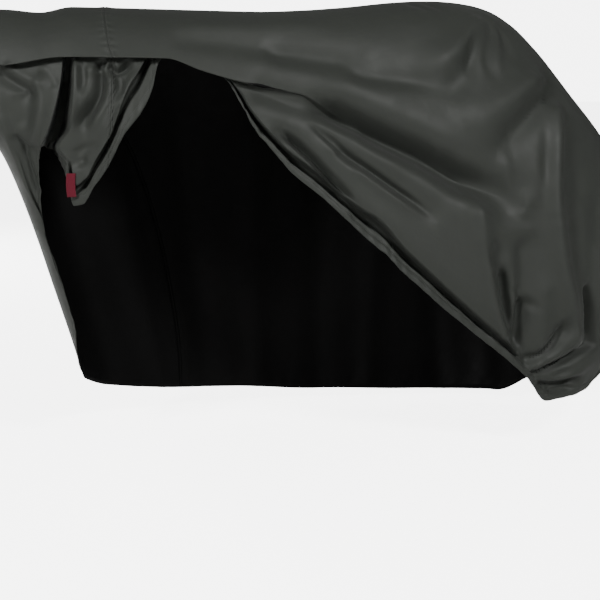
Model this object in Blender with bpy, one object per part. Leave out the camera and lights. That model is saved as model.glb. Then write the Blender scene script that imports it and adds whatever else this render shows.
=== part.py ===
"""Fitted bicycle cover, draped as in use with its near side lifted.

The cover is four panels of coated cloth, each a thin sheet: a front and a main panel on the near
side and the same two on the far side. They meet at a centre seam, which runs up the front, along
the crown and down the rear, and at an upright join behind the front end. A red webbing tag is
sewn to the lifted hem. The hollow under the crown is empty.

Units are metres. X runs along the cover with the rear at +X, the near side faces -Y and Z is up.
Heights in the tables are above the ground, and the origin lies on the underside of the crown.
"""

import bpy
import numpy as np

# ---------------------------------------------------------------- driving dimensions
CROWN_HEIGHT = 1.150        # top of the crown above the ground, over the middle
CLOTH = 0.002               # thickness of a panel with its coating
SEAM_GAP = 0.0003           # space left between two panels that are sewn together
JOIN_X = -0.495             # the upright join between front and main panels
TUCK = 0.055                # how far the lifted cloth is folded back up under the band
BAND_STEP = 0.026           # how far the lower cloth hangs behind the band
HEM_BAND = 0.042            # depth of the elastic hem channel
PLEAT_DEPTH = 0.085         # the deep pleat beside the middle flap
PLAN_POWER = 2.5            # squareness of the plan outline, 2 is an ellipse
FLAT_AT_SEAM = 0.35         # sine of the turn within which folds die out at the end seams
TAG_X = -0.600              # middle of the red tag
TAG_TOP = 0.742             # its upper end above the ground
TAG_WIDTH = 0.027
TAG_LENGTH = 0.058
TAG_CLOTH = 0.0014
TAG_SLIT = 0.0012           # space between the two layers of the folded tag
TAG_CLEAR = 0.0008          # space between the tag and the foremost of the flap's flat faces

# The body that the cloth spans, as level outlines from the crown down:
# height, front end x, rear end x, half width
BODY = (
    (1.150, -0.760, 0.400, 0.000),
    (1.146, -0.795, 0.450, 0.075),
    (1.130, -0.822, 0.510, 0.140),
    (1.095, -0.845, 0.570, 0.195),
    (1.030, -0.862, 0.640, 0.240),
    (0.920, -0.841, 0.735, 0.282),
    (0.780, -0.760, 0.850, 0.308),
    (0.600, -0.696, 0.940, 0.325),
    (0.450, -0.653, 0.975, 0.335),
    (0.280, -0.606, 0.955, 0.338),
    (0.120, -0.566, 0.870, 0.325),
    (0.000, -0.545, 0.760, 0.300),
)

# where along the band's edge the cloth below hangs plumb instead of following the body round
PLUMB = ((-0.74, -0.66, -0.36, -0.20), (0.0, 1.0, 1.0, 0.0))
BODY_ENDS = (-0.86, 0.98)   # foremost and rearmost x of the body

# Height of the crown line along its length: x, height
CROWN_LINE = (
    (-0.86, 1.134), (-0.74, 1.133), (-0.66, 1.127), (-0.58, 1.141), (-0.50, 1.140),
    (-0.30, 1.137), (-0.12, 1.135), (0.00, 1.140), (0.09, 1.147), (0.34, 1.168),
    (0.45, 1.164), (0.98, 1.160),
)

# Lower edge of the band, which turns into a soft trough behind the opening: x, height
BAND_EDGE = (
    (-0.86, 0.990), (-0.75, 0.994), (-0.61, 1.014), (-0.37, 1.011), (-0.29, 0.983),
    (-0.20, 0.957), (-0.08, 0.935), (0.01, 0.901), (0.11, 0.850), (0.21, 0.806),
    (0.31, 0.745), (0.48, 0.664), (0.75, 0.600), (0.98, 0.560),
)

# How much of the tuck is left along the band, and of the step behind it: x, share
TUCK_SHARE = (
    (-0.86, -0.30), (-0.80, 0.10), (-0.72, 0.90), (-0.66, 1.00), (-0.24, 0.95),
    (-0.17, 0.60), (-0.08, 0.05), (0.02, -0.30), (0.98, -0.30),
)
STEP_SHARE = (
    (-0.86, 0.00), (-0.80, 0.30), (-0.70, 1.00), (-0.22, 1.00), (-0.08, 0.60),
    (0.10, 0.15), (0.30, 0.00), (0.98, 0.00),
)

# The layer turned up under the band: share of the tuck's height, share of the step
TURNED_UP = ((0.05, 0.22), (0.36, 0.38), (0.70, 0.46), (0.92, 0.52), (1.00, 0.68))

# Near side from the front seam to the rear seam, a row for each turn of its hem:
# x at the band's edge, hem x, hem height, share of the pleat's depth
SEAM = 9.0                  # an x beyond the end stands for the seam itself
NEAR_HEM = (
    (-SEAM, -SEAM, 0.190, 0.0),
    (-0.845, -0.606, 0.370, 0.0),
    (-0.818, -0.642, 0.500, 0.0),
    (-0.785, -0.667, 0.568, 0.0),
    (-0.745, -0.677, 0.643, 0.0),
    (-0.700, -0.676, 0.720, 0.0),
    (-0.660, -0.673, 0.778, 0.0),
    (-0.626, -0.664, 0.812, 0.0),       # lip of the front drape
    (-0.612, -0.652, 0.812, 0.25),
    (-0.604, -0.640, 0.806, 1.0),       # back of the pleat
    (-0.596, -0.626, 0.796, 1.0),
    (-0.588, -0.618, 0.770, 0.2),
    (-0.580, -0.611, 0.737, 0.0),       # left edge of the middle flap
    (-0.562, -0.594, 0.664, 0.0),       # its tip
    (-0.545, -0.573, 0.668, 0.0),
    (-0.522, -0.550, 0.706, 0.0),
    (JOIN_X, -0.514, 0.757, 0.0),       # foot of the upright join
    (-0.466, -0.474, 0.834, 0.0),
    (-0.434, -0.436, 0.882, 0.0),
    (-0.408, -0.407, 0.935, 0.0),
    (-0.388, -0.388, 1.000, 0.0),
    (-0.362, -0.362, 1.022, 0.0),       # top of the opening, behind the band
    (-0.300, -0.300, 1.000, 0.0),
    (-0.246, -0.246, 0.978, 0.0),
    (-0.222, -0.220, 0.948, 0.0),
    (-0.186, -0.190, 0.893, 0.0),
    (-0.140, -0.155, 0.831, 0.0),
    (-0.070, -0.095, 0.757, 0.0),
    (0.030, -0.004, 0.679, 0.0),
    (0.105, 0.065, 0.614, 0.0),
    (0.170, 0.126, 0.566, 0.0),
    (0.235, 0.177, 0.504, 0.0),
    (0.325, 0.272, 0.424, 0.0),
    (0.420, 0.367, 0.344, 0.0),
    (0.520, 0.478, 0.256, 0.0),
    (0.580, 0.534, 0.206, 0.0),
    (0.650, 0.601, 0.136, 0.0),         # gathered corner
    (0.715, 0.672, 0.138, 0.0),
    (0.775, 0.728, 0.149, 0.0),
    (0.850, 0.790, 0.195, 0.0),
    (SEAM, SEAM, 0.225, 0.0),
)

# Far side: x at the band's height, hem x, hem height
FAR_HEM = (
    (-SEAM, -SEAM, 0.190),
    (-0.800, -0.520, 0.130),
    (-0.680, -0.430, 0.100),
    (JOIN_X, -0.300, 0.078),
    (-0.200, -0.100, 0.062),
    (0.100, 0.130, 0.042),
    (0.420, 0.400, 0.030),
    (0.720, 0.660, 0.030),
    (0.880, 0.800, 0.110),
    (SEAM, SEAM, 0.225),
)

# Folds of the near side, each a soft ridge (+) or trough (-) along a straight line:
# from x, height, to x, height, half width at each end, depth
NEAR_FOLDS = (
    (-0.15, 0.935, 0.05, 0.872, 0.028, 0.030, -0.010),      # trough that goes on from the band
    (0.13, 0.840, 0.46, 0.672, 0.035, 0.045, -0.014),
    (-0.16, 0.895, 0.16, 0.770, 0.030, 0.040, 0.007),
    (-0.08, 1.028, 0.34, 0.962, 0.045, 0.040, -0.009),      # shadow under the crown
    (0.475, 1.110, 0.28, 0.991, 0.022, 0.045, 0.009),       # fan from the crown's rear end
    (0.455, 1.085, 0.33, 0.940, 0.022, 0.035, -0.008),
    (0.650, 0.994, 0.388, 0.877, 0.025, 0.050, 0.012),      # fan from the rear shoulder
    (0.640, 0.950, 0.460, 0.800, 0.025, 0.040, -0.012),
    (-0.11, 0.838, 0.04, 0.690, 0.018, 0.022, -0.010),      # above the hem of the flap
    (0.08, 0.640, 0.46, 0.300, 0.022, 0.026, -0.012),
    (-0.01, 0.845, 0.26, 0.650, 0.024, 0.030, -0.007),
    (0.620, 0.880, 0.606, 0.640, 0.026, 0.030, 0.015),      # sharp fold down the rear quarter
    (0.608, 0.590, 0.672, 0.300, 0.030, 0.024, 0.016),
    (0.390, 0.640, 0.455, 0.330, 0.030, 0.024, 0.012),      # folds that run to the gathered corner
    (0.515, 0.540, 0.520, 0.270, 0.032, 0.022, -0.018),
    (0.570, 0.430, 0.560, 0.230, 0.024, 0.020, 0.012),
    (0.745, 0.640, 0.730, 0.300, 0.040, 0.030, -0.012),
    (-0.745, 0.880, -0.675, 0.620, 0.022, 0.025, -0.007),   # front drape
    (-0.550, 0.960, -0.575, 0.780, 0.018, 0.018, -0.007),   # middle flap
    (-0.455, 0.980, -0.480, 0.870, 0.016, 0.016, -0.006),
)

# Folds of the far side, hanging from the crown
FAR_FOLDS = (
    (-0.70, 0.92, -0.50, 0.10, 0.040, 0.030, 0.010),
    (-0.52, 0.90, -0.36, 0.09, 0.045, 0.030, -0.009),
    (-0.30, 0.98, -0.22, 0.08, 0.050, 0.035, 0.009),
    (-0.08, 0.80, -0.06, 0.07, 0.050, 0.035, -0.008),
    (0.14, 1.00, 0.12, 0.06, 0.050, 0.035, 0.009),
    (0.32, 0.85, 0.28, 0.05, 0.045, 0.030, -0.009),
    (0.47, 1.02, 0.50, 0.05, 0.040, 0.035, 0.011),
    (0.66, 0.80, 0.64, 0.05, 0.045, 0.035, -0.010),
    (0.82, 0.70, 0.76, 0.10, 0.040, 0.030, 0.010),
)

# ---------------------------------------------------------------- resolution
NEAR_COLUMN = 0.026         # greatest width of a column of faces at the band's edge
FAR_COLUMN = 0.060
LEAST_STEPS = 2             # columns from one row of a hem table to the next, at least
CROWN_ROWS = 11             # rows from the crown to the band's edge
FLAP_ROWS = 8               # rows from the tuck to the hem band
FAR_ROWS = 17

CLOTH_COLOUR = (0.045, 0.047, 0.044, 1.0)
TAG_COLOUR = (0.39, 0.04, 0.08, 1.0)


# ---------------------------------------------------------------- curves
def smooth(points, column, at):
    """Value of a table's column at the given places of its first one, with no overshoot."""
    table = np.asarray(points, float)
    place, value = table[:, 0], table[:, column]
    return monotone(place, value, at)


def monotone(place, value, at):
    """Smooth curve through points that never swings past them (Fritsch and Carlson)."""
    step = np.diff(place)
    slope = np.diff(value) / step
    tangent = np.zeros(len(value))
    tangent[0], tangent[-1] = slope[0], slope[-1]
    for i in range(1, len(value) - 1):
        if slope[i - 1] * slope[i] > 0:
            before, after = 2 * step[i] + step[i - 1], step[i] + 2 * step[i - 1]
            tangent[i] = (before + after) / (before / slope[i - 1] + after / slope[i])
    at = np.clip(at, place[0], place[-1])
    i = np.clip(np.searchsorted(place, at, side="right") - 1, 0, len(step) - 1)
    s = (at - place[i]) / step[i]
    start = (1 + 2 * s) * (1 - s) ** 2 * value[i] + s * (1 - s) ** 2 * step[i] * tangent[i]
    end = s * s * (3 - 2 * s) * value[i + 1] + s * s * (s - 1) * step[i] * tangent[i + 1]
    return start + end


ORIGIN_HEIGHT = float(smooth(CROWN_LINE, 1, 0.0)) - CLOTH       # underside of the crown

BODY_TABLE = np.array(BODY)
BODY_STEP = np.linspace(0.0, 1.0, len(BODY))
FINE_STEP = np.linspace(0.0, 1.0, 2001)
FINE_HEIGHT = monotone(BODY_STEP, BODY_TABLE[:, 0], FINE_STEP)


def body_outline(height):
    """Middle, half length and half width of the body at a height."""
    step = np.interp(-np.asarray(height, float), -FINE_HEIGHT, FINE_STEP)
    front, rear, half = (monotone(BODY_STEP, BODY_TABLE[:, k], step) for k in (1, 2, 3))
    return (front + rear) / 2, (rear - front) / 2, half


def crown_scale(x):
    """The crown's height at x as a share of its height over the middle."""
    return smooth(CROWN_LINE, 1, x) / CROWN_HEIGHT


def turn_on_level(x, level):
    """Angle round the plan, 0 at the front seam and pi at the rear one, for a place in x."""
    middle, half_length, _ = body_outline(level)
    share = np.clip((x - middle) / half_length, -1.0, 1.0)
    return np.arccos(-np.sign(share) * np.abs(share) ** (PLAN_POWER / 2))


def turn_at(x, height):
    """The same angle for a height above the ground, where the crown line rises and falls."""
    return turn_on_level(x, height / crown_scale(x))


def body_point(turn, height, side):
    """Point of the body's skin, side -1 for the near half and +1 for the far half."""
    level = np.minimum(height, CROWN_HEIGHT)
    middle, half_length, half_width = body_outline(level)
    cosine, sine = np.cos(turn), np.clip(np.sin(turn), 0.0, 1.0)
    x = middle - half_length * np.sign(cosine) * np.abs(cosine) ** (2 / PLAN_POWER)
    y = side * half_width * sine ** (2 / PLAN_POWER)
    return np.stack([x, y, level * crown_scale(x)], axis=-1)


def fold_depth(folds, x, height):
    """Sum of the soft ridges and troughs at a place on the side."""
    depth = np.zeros_like(x)
    for x0, h0, x1, h1, width0, width1, size in folds:
        run = np.hypot(x1 - x0, h1 - h0)
        along = ((x - x0) * (x1 - x0) + (height - h0) * (h1 - h0)) / run**2
        across = ((x - x0) * (h1 - h0) - (height - h0) * (x1 - x0)) / run
        width = width0 + (width1 - width0) * np.clip(along, 0.0, 1.0)
        past = (along - np.clip(along, 0.0, 1.0)) * run
        depth += size * np.exp(-((across / width) ** 2) - (past / width) ** 2)
    return depth


# ---------------------------------------------------------------- sheets
def body_normal(turn, height, side):
    """Outward direction of the body's skin, level across the seams so that both sides agree."""
    small, off_seam = 1e-3, 0.03
    on_seam = (turn <= 0.0) | (turn >= np.pi) | (height >= CROWN_HEIGHT)
    turn = np.clip(turn, off_seam, np.pi - off_seam)
    height = np.minimum(height, CROWN_HEIGHT - 2 * small)
    along = body_point(turn + small, height, side) - body_point(turn - small, height, side)
    up = body_point(turn, height + small, side) - body_point(turn, height - small, side)
    normal = np.cross(along, up) * -side
    normal[..., 1] = np.where(on_seam, 0.0, normal[..., 1])
    return normal / np.linalg.norm(normal, axis=-1, keepdims=True)


def column_places(table, widest):
    """Places from row to row of a hem table, at least two steps each and none too wide."""
    width = np.abs(np.diff(np.clip([row[0] for row in table], *BODY_ENDS)))
    steps = np.maximum(LEAST_STEPS, np.ceil(width / widest)).astype(int)
    places = [row + i / count for row, count in enumerate(steps) for i in range(count)]
    return np.array(places + [len(table) - 1])


def read_columns(rows, places):
    """Values given for each row of a hem table, read at the given places along it."""
    return [monotone(np.arange(len(row), dtype=float), row, places) for row in rows]


def crown_heights(lowest, rows):
    """Shares of the way and heights, from the crown down to a lowest one."""
    fall = lowest - CROWN_HEIGHT
    return [(i / rows, CROWN_HEIGHT + fall * crown_drop(i / rows)) for i in range(rows + 1)]


def crown_drop(share):
    """Share of the height lost at a share of the way, slow at first over the round crown."""
    return share * share * (1.6 - 0.6 * share)


def top_x(band_x):
    """Where the column that crosses the band's edge at band_x starts on the crown."""
    return np.interp(band_x, (-0.86, JOIN_X, 0.90), (-0.760, -0.490, 0.400))


def on_own_side(points, side):
    """Keeps the points of a side half a seam's gap clear of the centre."""
    points[..., 1] = side * np.maximum(side * points[..., 1], SEAM_GAP / 2)
    return points


def skin(rows, folds, side):
    """Points of a draped sheet from rows of (turn, height, distance inward, share of folds)."""
    turn, height, inward, shown = (
        np.array([np.broadcast_to(row[k], rows[0][0].shape) for row in rows]) for k in range(4)
    )
    points = body_point(turn, height, side)
    off_seam = np.clip(np.sin(turn) / FLAT_AT_SEAM, 0.0, 1.0)
    depth = fold_depth(folds, points[..., 0], points[..., 2]) * shown * off_seam
    points += body_normal(turn, height, side) * depth[..., None]
    points[..., 1] -= side * inward
    points[..., 2] -= ORIGIN_HEIGHT
    return on_own_side(points, side)


def near_skin(places):
    """The near side: crown, band, tuck and the lower cloth down to the lifted hem."""
    band_x, hem_x, hem_height, pleat = np.array(NEAR_HEM).T
    start, band, end, band_x, hem_x, hem_height, pleat = read_columns(
        (
            turn_on_level(top_x(band_x), CROWN_HEIGHT),
            turn_at(band_x, smooth(BAND_EDGE, 1, band_x)),
            turn_at(hem_x, hem_height),
            np.clip(band_x, *BODY_ENDS),
            np.clip(hem_x, *BODY_ENDS),
            hem_height,
            pleat,
        ),
        places,
    )
    band_height = smooth(BAND_EDGE, 1, band_x)
    tuck = TUCK * smooth(TUCK_SHARE, 1, band_x)
    step = BAND_STEP * smooth(STEP_SHARE, 1, band_x)
    scale = crown_scale(band_x)
    rows = []
    for share, height in crown_heights(band_height / scale, CROWN_ROWS):
        rows.append((start + (band - start) * share, height, 0.0, 1.0))
    straight = 1 - np.clip(tuck / TUCK, 0.0, 1.0)
    for share, back in TURNED_UP:
        rows.append((band, (band_height + tuck * share) / scale, step * back, straight))
    top = band_height + tuck
    length = top - hem_height
    plumb = np.interp(band_x, *PLUMB)
    hem_share = np.minimum(HEM_BAND / length, 0.4)
    shares = [(1 - hem_share) * i / FLAP_ROWS for i in range(1, FLAP_ROWS + 1)]
    shares += [1 - hem_share / 2, np.ones_like(hem_share)]
    for share in shares:
        run = share * length
        sink = step * np.interp(run, (0.0, 0.035), (TURNED_UP[-1][1], 1.0))
        deep = PLEAT_DEPTH * pleat * np.clip(run / 0.11, 0.0, 1.0) ** 0.7
        level = (top - run) / scale
        turn = band + (end - band) * share * share * (3 - 2 * share)
        hanging = turn_on_level(band_x + (hem_x - band_x) * share * share, level)
        rows.append((turn + (hanging - turn) * plumb, level, sink + deep, 1.0))
    return skin(rows, NEAR_FOLDS, -1)


def far_skin(places):
    """The far side, which hangs from the crown to the ground."""
    band_x, hem_x, hem_height = np.array(FAR_HEM).T
    start, end, hem_height = read_columns(
        (turn_on_level(top_x(band_x), CROWN_HEIGHT), turn_at(hem_x, hem_height), hem_height), places
    )
    rows = []
    for share, height in crown_heights(hem_height, FAR_ROWS):
        rows.append((start + (end - start) * share, height, 0.0, 1.0))
    return skin(rows, FAR_FOLDS, 1)


# ---------------------------------------------------------------- objects
def new_material(name, colour, roughness):
    material = bpy.data.materials.new(name)
    material.use_nodes = True
    shader = material.node_tree.nodes["Principled BSDF"]
    shader.inputs["Base Color"].default_value = colour
    shader.inputs["Roughness"].default_value = roughness
    shader.inputs["Metallic"].default_value = 0.0
    return material


def inner_skin(points, side):
    """The sheet's inner face: the outer one moved in by the cloth's thickness, straight at seams."""
    normal = np.cross(np.gradient(points, axis=1), np.gradient(points, axis=0)) * side
    at_centre = np.abs(points[..., 1]) <= SEAM_GAP
    normal[..., 1] = np.where(at_centre, 0.0, normal[..., 1])
    for end, beside in ((0, 1), (-1, -2)):              # the crown's two ends
        normal[0, end] = normal[0, beside] + normal[1, end]
    inner = points - CLOTH * normal / np.linalg.norm(normal, axis=-1, keepdims=True)
    return on_own_side(inner, side)


def make_panel(name, outer, inner, side, collection):
    """One panel as a closed loft: outer face, inner face and the cut edge all round."""
    rows, columns = outer.shape[:2]
    out = np.arange(rows * columns).reshape(rows, columns)
    back = out + rows * columns
    faces = []
    for grid, turned in ((out, False), (back, True)):
        # both faces are split along the same diagonal, so that they stay a cloth apart
        a, b, c, d = grid[:-1, :-1], grid[:-1, 1:], grid[1:, 1:], grid[1:, :-1]
        split = np.stack([a, b, c, a, c, d], axis=-1).reshape(-1, 3)
        faces += (split[:, ::-1] if turned else split).tolist()
    edge = np.concatenate([out[0, :-1], out[:-1, -1], out[-1, :0:-1], out[:0:-1, 0]])
    for a, b in zip(edge, np.roll(edge, -1)):
        faces.append([int(b), int(a), int(a + rows * columns), int(b + rows * columns)])
    if side < 0:
        faces = [face[::-1] for face in faces]
    mesh = bpy.data.meshes.new(name)
    mesh.from_pydata(np.concatenate([outer, inner]).reshape(-1, 3).tolist(), [], faces)
    mesh.shade_smooth()
    mesh.set_sharp_from_angle(angle=np.radians(60))
    panel = bpy.data.objects.new(name, mesh)
    panel.data.materials.append(new_material(name + "_cloth", CLOTH_COLOUR, 0.55))
    collection.objects.link(panel)


def make_side(side, outer, cut, front_name, main_name, collection):
    """Cuts a side into its front and main panels, a seam's gap apart."""
    inner = inner_skin(outer, side)
    for name, part, edge, shift in (
        (front_name, np.s_[:, : cut + 1], -1, -SEAM_GAP / 2),
        (main_name, np.s_[:, cut:], 0, SEAM_GAP / 2),
    ):
        faces = [outer[part].copy(), inner[part].copy()]
        for face in faces:
            face[:, edge, 0] += shift
        make_panel(name, *faces, side, collection)


def foremost(sheet, x, z, half_width, half_height):
    """Least y of a sheet's points in an upright rectangle, read between its grid points too."""
    across, down = np.meshgrid(np.linspace(0, 1, 13), np.linspace(0, 1, 13))
    across, down = across[..., None, None, None], down[..., None, None, None]
    upper = sheet[:-1, :-1] * (1 - across) + sheet[:-1, 1:] * across
    lower = sheet[1:, :-1] * (1 - across) + sheet[1:, 1:] * across
    points = upper * (1 - down) + lower * down
    inside = np.abs(points[..., 0] - x) < half_width
    inside &= np.abs(points[..., 2] - z) < half_height
    return points[inside][:, 1].min()


def make_tag(flap, collection):
    """The red webbing tag: a loop folded flat, which hangs at the edge of the middle flap."""
    middle = TAG_TOP - ORIGIN_HEIGHT - TAG_LENGTH / 2
    front_face = foremost(flap, TAG_X, middle, TAG_WIDTH / 2, TAG_LENGTH / 2) - TAG_CLEAR
    depth = 2 * TAG_CLOTH + TAG_SLIT
    outline = [
        (0.0, 0.0),
        (TAG_CLOTH, 0.0),
        (TAG_CLOTH, TAG_CLOTH - TAG_LENGTH),
        (TAG_CLOTH + TAG_SLIT, TAG_CLOTH - TAG_LENGTH),
        (TAG_CLOTH + TAG_SLIT, 0.0),
        (depth, 0.0),
        (depth, -TAG_LENGTH),
        (0.0, -TAG_LENGTH),
    ]
    curve = bpy.data.curves.new("red_tag", "CURVE")
    curve.dimensions = "2D"
    curve.fill_mode = "BOTH"
    curve.extrude = TAG_WIDTH / 2
    spline = curve.splines.new("POLY")
    spline.points.add(len(outline) - 1)
    for point, (across, up) in zip(spline.points, outline):
        point.co = (across, up, 0.0, 1.0)
    spline.use_cyclic_u = True
    tag = bpy.data.objects.new("red_tag", curve)
    # the outline's plane is turned so that its width runs along X and its depth along Y
    tag.rotation_euler = (np.pi / 2, 0.0, np.pi / 2)
    tag.location = (TAG_X, front_face - depth, middle + TAG_LENGTH / 2)
    curve.materials.append(new_material("red_webbing", TAG_COLOUR, 0.7))
    collection.objects.link(tag)


def main():
    for old in list(bpy.data.objects):
        bpy.data.objects.remove(old, do_unlink=True)
    collection = bpy.data.collections.new("bicycle_cover")
    bpy.context.scene.collection.children.link(collection)

    near_places = column_places(NEAR_HEM, NEAR_COLUMN)
    near = near_skin(near_places)
    cut = list(near_places).index([row[0] for row in NEAR_HEM].index(JOIN_X))
    make_side(-1, near, cut, "near_front_panel", "near_main_panel", collection)

    far_places = column_places(FAR_HEM, FAR_COLUMN)
    far = far_skin(far_places)
    cut = list(far_places).index([row[0] for row in FAR_HEM].index(JOIN_X))
    make_side(1, far, cut, "far_front_panel", "far_main_panel", collection)

    make_tag(near, collection)


main()
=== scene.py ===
"""Looks of the fitted bicycle cover: its cloth panels, seams and tag, and a plain studio.

Units are metres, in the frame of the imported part: X runs along the cover with the rear at +X,
the near side faces -Y and Z is up. Heights in the tables are above the ground.
"""

import math

import bpy
import numpy as np
from bpy.props import FloatProperty, FloatVectorProperty, PointerProperty, StringProperty
from mathutils import Euler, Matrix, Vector


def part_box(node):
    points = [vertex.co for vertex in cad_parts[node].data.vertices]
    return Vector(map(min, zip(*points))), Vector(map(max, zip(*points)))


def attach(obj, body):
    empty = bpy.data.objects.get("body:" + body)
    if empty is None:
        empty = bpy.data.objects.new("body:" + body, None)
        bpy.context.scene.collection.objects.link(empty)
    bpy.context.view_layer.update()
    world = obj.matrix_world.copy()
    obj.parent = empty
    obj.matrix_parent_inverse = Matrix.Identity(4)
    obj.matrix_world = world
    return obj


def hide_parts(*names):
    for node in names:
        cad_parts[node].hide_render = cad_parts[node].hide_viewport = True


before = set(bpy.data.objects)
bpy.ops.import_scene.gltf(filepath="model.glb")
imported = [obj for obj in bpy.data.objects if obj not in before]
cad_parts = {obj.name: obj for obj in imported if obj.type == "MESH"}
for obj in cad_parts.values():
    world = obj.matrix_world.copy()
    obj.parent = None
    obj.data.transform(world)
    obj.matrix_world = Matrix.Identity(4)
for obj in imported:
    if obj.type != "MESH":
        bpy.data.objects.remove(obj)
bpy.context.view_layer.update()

bl_info = {
    "name": "Bicycle cover",
    "version": (1, 0, 0),
    "blender": (4, 5, 0),
    "location": "3D View > Sidebar > Cover",
    "description": "Builds a draped bicycle cover with its seams, hem and tag",
    "category": "Add Mesh",
}

# ---------------------------------------------------------------- sizes of the cover
CROWN_HEIGHT = 1.150        # top of the crown above the ground, over the middle
CLOTH = 0.0012              # thickness of the sheets drawn here, with their coating
SEAM_GAP = 0.0003           # space left between two panels that are sewn together
JOIN_X = -0.495             # the upright join between front and main panels
TUCK = 0.055                # how far the lifted cloth is folded back up under the band
BAND_STEP = 0.026           # how far the lower cloth hangs behind the band
HEM_BAND = 0.024            # depth of the elastic hem channel
PLEAT_DEPTH = 0.110         # the deep pleat beside the middle flap
PLEAT_RUN = 0.11            # length of cloth down which the pleat deepens
PLEAT_POWER = 0.7           # how suddenly it does so, 1 is evenly
STEP_RUN = 0.035            # length of cloth in which it falls back to the whole step
TURNED_UP = 0.60            # share of the step that the turned-up layer takes
PLAN_POWER = 2.5            # squareness of the plan outline, 2 is an ellipse
CROWN_ROUND = 0.6           # how much slower the crown falls away than its sides
FLAT_AT_SEAM = 0.35         # sine of the turn within which folds die out at the end seams
OFF_SEAM = 0.03             # distance from the centre within which hem and join lie flat
CUT_SHARE = 0.75            # share of its rectangle of cloth that a shaped panel uses

# The body that the cloth spans, as level outlines from the crown down:
# height, front end x, rear end x, half width
BODY = (
    (1.150, -0.760, 0.400, 0.000),
    (1.146, -0.795, 0.450, 0.075),
    (1.130, -0.822, 0.510, 0.140),
    (1.095, -0.845, 0.570, 0.195),
    (1.030, -0.862, 0.640, 0.240),
    (0.920, -0.841, 0.735, 0.282),
    (0.780, -0.760, 0.850, 0.308),
    (0.600, -0.696, 0.940, 0.325),
    (0.450, -0.653, 0.975, 0.335),
    (0.280, -0.606, 0.955, 0.338),
    (0.120, -0.566, 0.870, 0.325),
    (0.000, -0.545, 0.760, 0.300),
)

# x at the band's edge and how far the cloth there hangs plumb instead of following the body
PLUMB = ((-0.74, -0.66, -0.36, -0.20), (0.0, 1.0, 1.0, 0.0))
BODY_ENDS = (-0.86, 0.98)   # foremost and rearmost x of the body

# x at the band's edge and x on the crown that its column of cloth starts from
TOP_X = ((-0.86, JOIN_X, 0.90), (-0.760, -0.490, 0.400))

# Height of the crown line along its length: x, height
CROWN_LINE = (
    (-0.86, 1.134), (-0.74, 1.133), (-0.66, 1.127), (-0.58, 1.141), (-0.50, 1.140),
    (-0.30, 1.137), (-0.12, 1.135), (0.00, 1.140), (0.09, 1.147), (0.34, 1.168),
    (0.45, 1.164), (0.98, 1.160),
)

# Lower edge of the band, which turns into a soft trough behind the opening: x, height
BAND_EDGE = (
    (-0.86, 0.990), (-0.75, 0.994), (-0.61, 1.014), (-0.37, 1.011), (-0.29, 0.983),
    (-0.20, 0.957), (-0.08, 0.935), (0.01, 0.901), (0.11, 0.850), (0.21, 0.806),
    (0.31, 0.745), (0.48, 0.664), (0.75, 0.600), (0.98, 0.560),
)

# How much of the tuck is left along the band, and of the step behind it: x, share
TUCK_SHARE = (
    (-0.86, -0.30), (-0.80, 0.10), (-0.72, 0.90), (-0.66, 1.00), (-0.24, 0.95),
    (-0.17, 0.60), (-0.08, 0.05), (0.02, -0.30), (0.98, -0.30),
)
STEP_SHARE = (
    (-0.86, 0.00), (-0.80, 0.30), (-0.70, 1.00), (-0.22, 1.00), (-0.08, 0.60),
    (0.10, 0.15), (0.30, 0.00), (0.98, 0.00),
)

# Near side from the front seam to the rear seam, a row for each turn of its hem:
# x at the band's edge, hem x, hem height, share of the pleat's depth
SEAM = 9.0                  # an x beyond the end stands for the seam itself
NEAR_HEM = (
    (-SEAM, -SEAM, 0.190, 0.0),
    (-0.845, -0.606, 0.370, 0.0),
    (-0.818, -0.642, 0.500, 0.0),
    (-0.785, -0.667, 0.568, 0.0),
    (-0.745, -0.677, 0.643, 0.0),
    (-0.700, -0.676, 0.720, 0.0),
    (-0.660, -0.673, 0.778, 0.0),
    (-0.606, -0.668, 0.812, 0.0),       # lip of the front drape
    (-0.6035, -0.664, 0.812, 0.5),
    (-0.600, -0.656, 0.806, 1.0),       # back of the pleat
    (-0.588, -0.632, 0.796, 1.0),
    (-0.5845, -0.620, 0.770, 0.4),
    (-0.580, -0.611, 0.737, 0.0),       # left edge of the middle flap
    (-0.562, -0.594, 0.664, 0.0),       # its tip
    (-0.545, -0.573, 0.668, 0.0),
    (-0.522, -0.550, 0.706, 0.0),
    (JOIN_X, -0.514, 0.757, 0.0),       # foot of the upright join
    (-0.466, -0.474, 0.834, 0.0),
    (-0.434, -0.436, 0.882, 0.0),
    (-0.408, -0.407, 0.935, 0.0),
    (-0.388, -0.388, 1.000, 0.0),
    (-0.362, -0.362, 1.022, 0.0),       # top of the opening, behind the band
    (-0.300, -0.300, 1.000, 0.0),
    (-0.246, -0.246, 0.978, 0.0),
    (-0.222, -0.220, 0.948, 0.0),
    (-0.186, -0.190, 0.893, 0.0),
    (-0.140, -0.155, 0.831, 0.0),
    (-0.070, -0.095, 0.757, 0.0),
    (0.030, -0.004, 0.679, 0.0),
    (0.105, 0.065, 0.614, 0.0),
    (0.170, 0.126, 0.560, 0.0),
    (0.235, 0.177, 0.511, 0.0),
    (0.325, 0.272, 0.424, 0.0),
    (0.420, 0.367, 0.344, 0.0),
    (0.520, 0.478, 0.256, 0.0),
    (0.580, 0.534, 0.206, 0.0),
    (0.650, 0.601, 0.136, 0.0),         # gathered corner
    (0.715, 0.672, 0.138, 0.0),
    (0.775, 0.728, 0.149, 0.0),
    (0.850, 0.790, 0.195, 0.0),
    (SEAM, SEAM, 0.225, 0.0),
)

GROOVE_DEPTH = 0.048        # the deep groove that the drawn-in elastic makes above the lifted hem
GROOVE_LIP = 0.009          # how far the cloth above it bulges over
LIP_REACH = 0.045           # how far up that bulge dies out

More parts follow.
